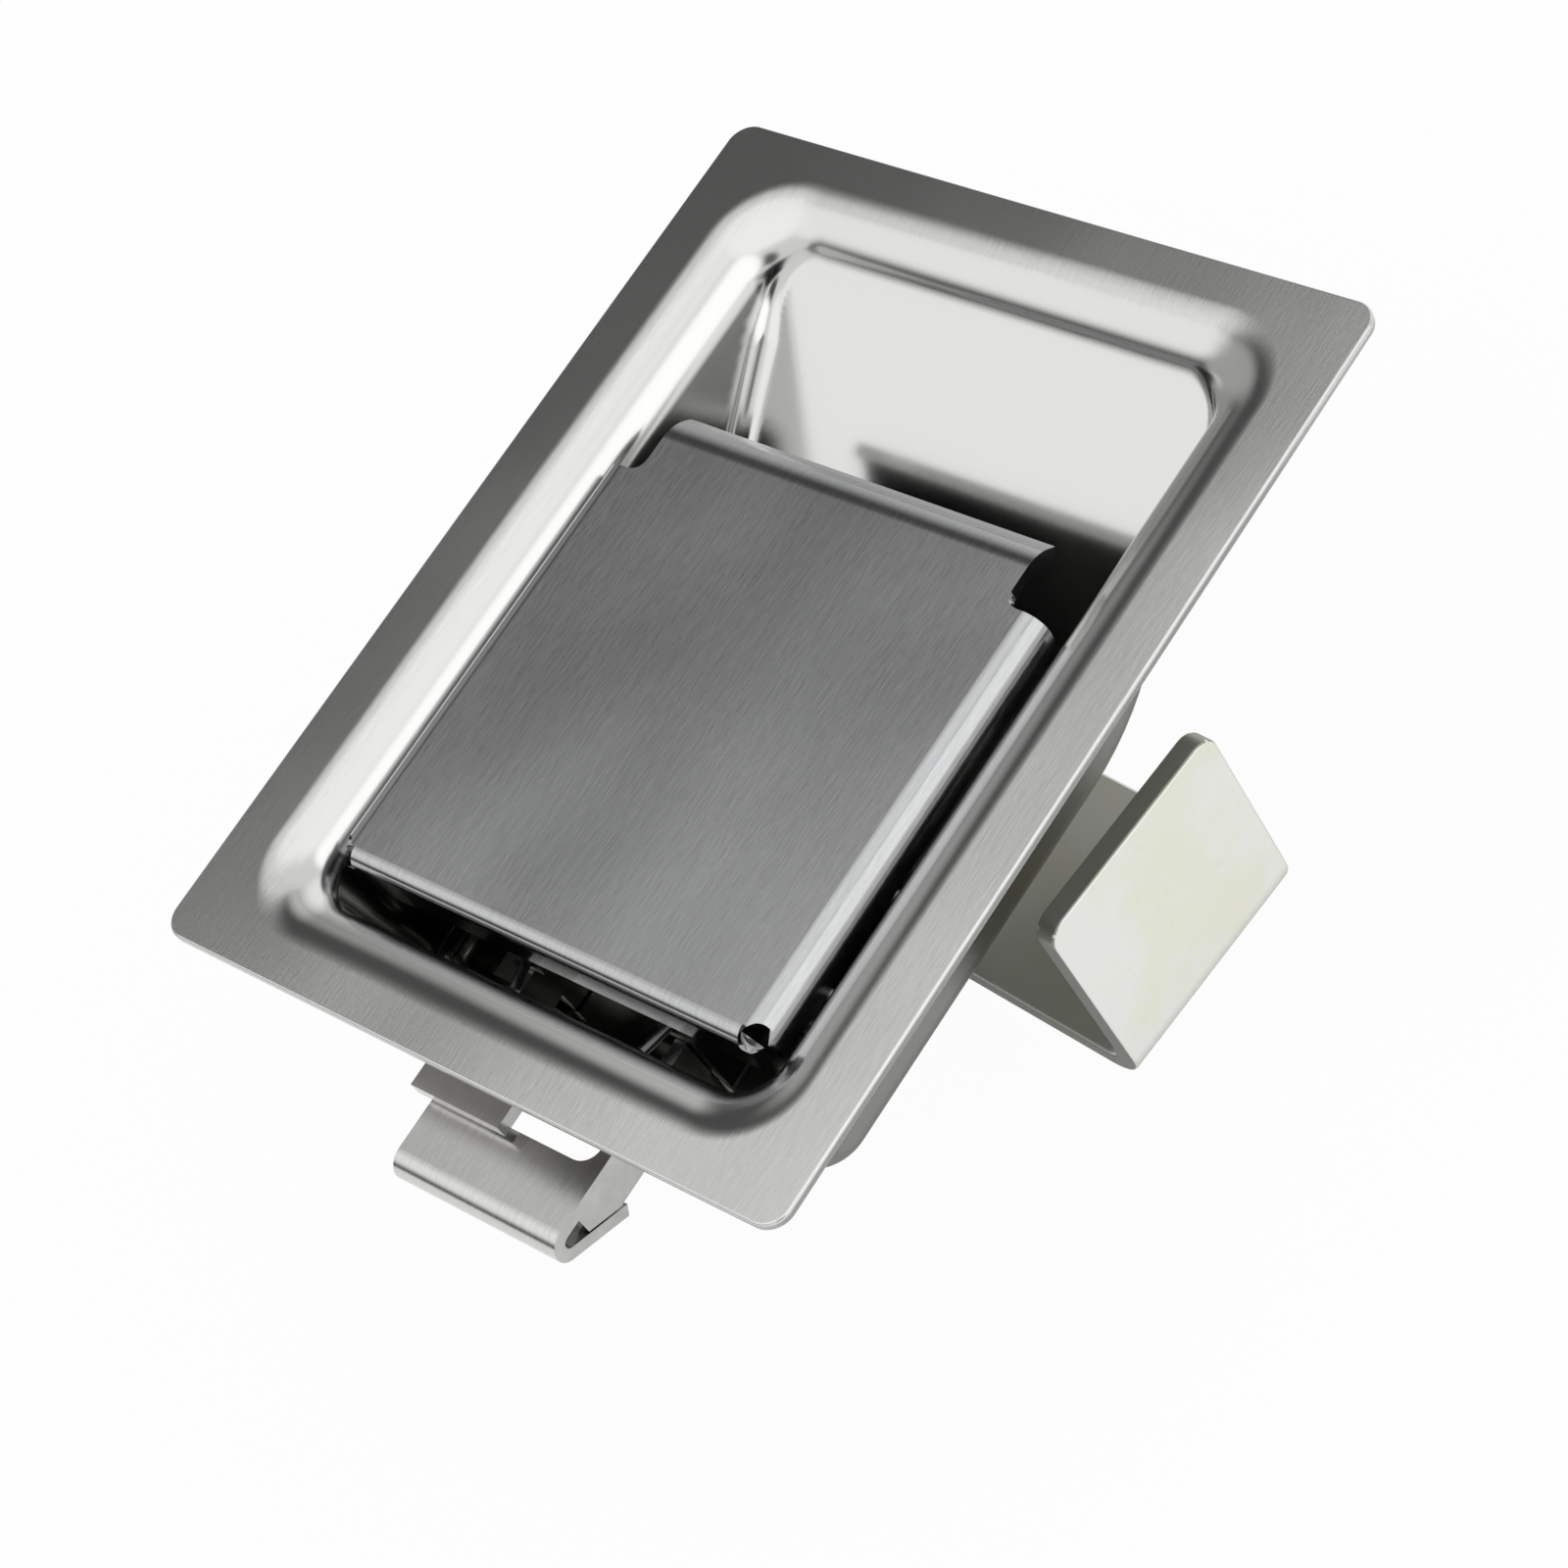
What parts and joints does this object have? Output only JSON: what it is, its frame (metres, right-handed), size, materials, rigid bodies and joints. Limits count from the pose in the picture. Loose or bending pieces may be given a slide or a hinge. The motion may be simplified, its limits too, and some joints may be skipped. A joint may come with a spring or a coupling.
{
  "type": "flush pull paddle latch",
  "caption": "Recessed stainless paddle latch: a drawn dish with a finger scoop, a tilting paddle that pulls in a spring loaded slam bolt, and a U yoke that clamps it to a panel.",
  "frame": {"origin": "centre of the flange's back face, where it seats on the panel", "axes": "+Z out of the front, +Y toward the finger end, +X to the right seen from the front"},
  "size_m": [0.085, 0.1183, 0.0567],
  "materials": {
    "stainless": "stainless sheet, flange and paddle brushed, recess polished",
    "inner_sheet": "plain folded stainless sheet",
    "rivet_steel": "bright turned steel",
    "spring_steel": "drawn spring wire",
    "zinc_yoke": "zinc plated steel with a pale yellow green passivation",
    "zinc_hardware": "bright zinc plated fasteners"
  },
  "bodies": {
    "dish": {"dish": "stainless", "mounting_stud": "zinc_hardware", "bolt_rail_left": "inner_sheet", "bolt_rail_right": "inner_sheet", "rail_rivets": "rivet_steel", "spring_seat": "inner_sheet", "seat_rivets": "rivet_steel", "spring_rods": "rivet_steel", "end_guide": "inner_sheet", "guide_rivets": "rivet_steel", "pivot_pin": "rivet_steel", "pin_clip": "spring_steel", "bolt_spring_left": "spring_steel", "bolt_spring_right": "spring_steel", "paddle_spring_left": "spring_steel", "paddle_spring_right": "spring_steel"},
    "paddle": {"paddle": "stainless", "trip_lever": "inner_sheet"},
    "bolt": {"slam_bolt": "stainless"},
    "clamp_nut": {"flat_washer": "zinc_hardware", "lock_washer": "zinc_hardware", "hex_nut": "zinc_hardware"},
    "yoke": {"clamp_bracket": "zinc_yoke"}
  },
  "joints": [
    {"name": "paddle_tilt", "type": "hinge", "parent": "dish", "child": "paddle", "pos_m": [0, -0.03162, -0.007], "axis": [1, 0, 0], "range_deg": [0, 37], "stiffness_Nm_per_rad": 0.18, "springref_deg": -34.38, "deforming": ["paddle_spring_left", "paddle_spring_right"]},
    {"name": "bolt_slide", "type": "slide", "parent": "dish", "child": "bolt", "axis": [0, 1, 0], "range_m": [0, 0.00777], "deforming": ["bolt_spring_left", "bolt_spring_right"]},
    {"name": "clamp_slide", "type": "slide", "parent": "dish", "child": "clamp_nut", "axis": [0, 0, 1], "range_m": [0, 0.01]},
    {"name": "yoke_swivel", "type": "hinge", "parent": "clamp_nut", "child": "yoke", "pos_m": [0, 0.0038, 0], "axis": [0, 0, 1], "range_deg": [-6, 17]}
  ],
  "couplings": [
    {"joint": "bolt_slide", "follows": "paddle_tilt", "m_per_rad": 0.01203}
  ]
}
